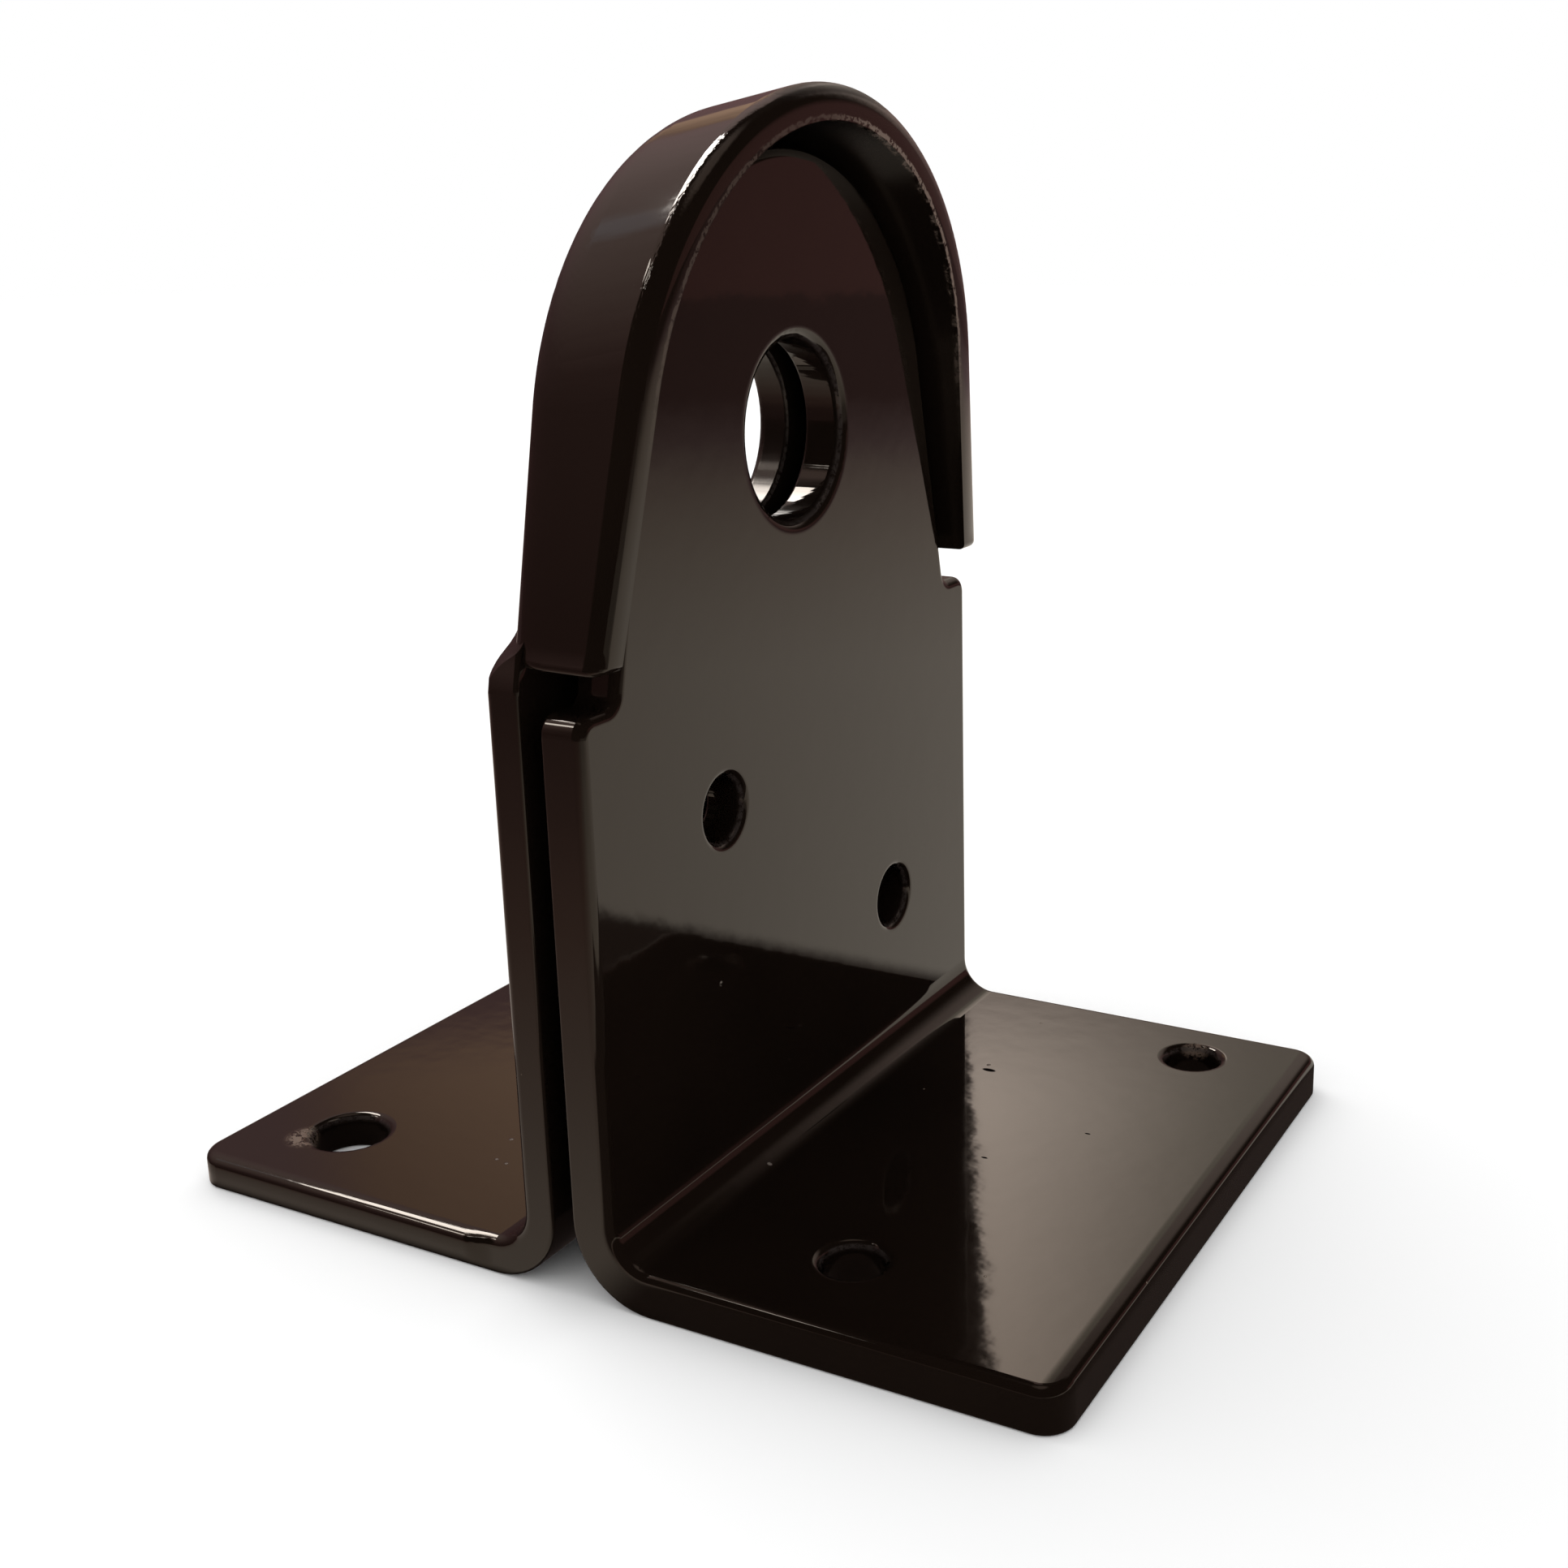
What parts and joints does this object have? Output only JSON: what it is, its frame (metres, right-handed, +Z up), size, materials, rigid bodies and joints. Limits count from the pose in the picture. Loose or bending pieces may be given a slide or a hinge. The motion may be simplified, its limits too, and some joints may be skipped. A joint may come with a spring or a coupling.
{
  "type": "angle bracket",
  "caption": "Angle bracket of bent steel sheets set back to back, with an arched upright, a shackle hole, a raised rim and flat feet with screw holes.",
  "frame": {"origin": "under the middle of the footprint, on the plane that both feet stand on", "axes": "+Z up along the uprights, +X square to the uprights towards the plain half's foot, +Y along the bends"},
  "size_m": [0.0668, 0.05, 0.0739],
  "materials": {
    "coated_steel": "glossy, very dark brown coat"
  },
  "bodies": {
    "root": {"plain_half": "coated_steel", "rimmed_half": "coated_steel"}
  },
  "joints": []
}
